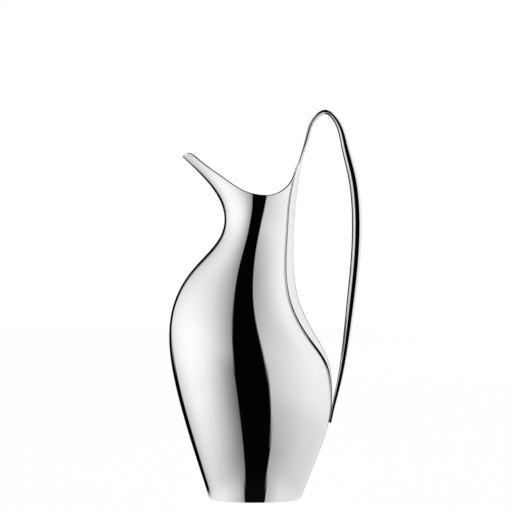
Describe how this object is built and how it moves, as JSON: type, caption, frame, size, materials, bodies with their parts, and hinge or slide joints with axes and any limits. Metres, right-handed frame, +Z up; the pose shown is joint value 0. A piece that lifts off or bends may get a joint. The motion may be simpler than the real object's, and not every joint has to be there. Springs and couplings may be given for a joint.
{
  "type": "water pitcher",
  "caption": "Tall mirror-polished steel water pitcher with a leaning belly, a drawn-out beak lip and a tall hollow strap handle from rim to belly.",
  "frame": {"origin": "middle of the standing ring, on the table", "axes": "+Z up, +X from the middle of the base towards the handle, so the lip points along -X, and Y from side to side"},
  "size_m": [0.1706, 0.1182, 0.3449],
  "materials": {
    "polished_body": "mirror-polished stainless steel",
    "polished_base": "mirror-polished stainless steel, finely rubbed on the standing ring",
    "polished_handle": "mirror-polished stainless steel"
  },
  "bodies": {
    "root": {"body_left_half": "polished_body", "body_right_half": "polished_body", "base_pan": "polished_base", "handle_outer_shell": "polished_handle", "handle_inner_shell": "polished_handle"}
  },
  "joints": []
}
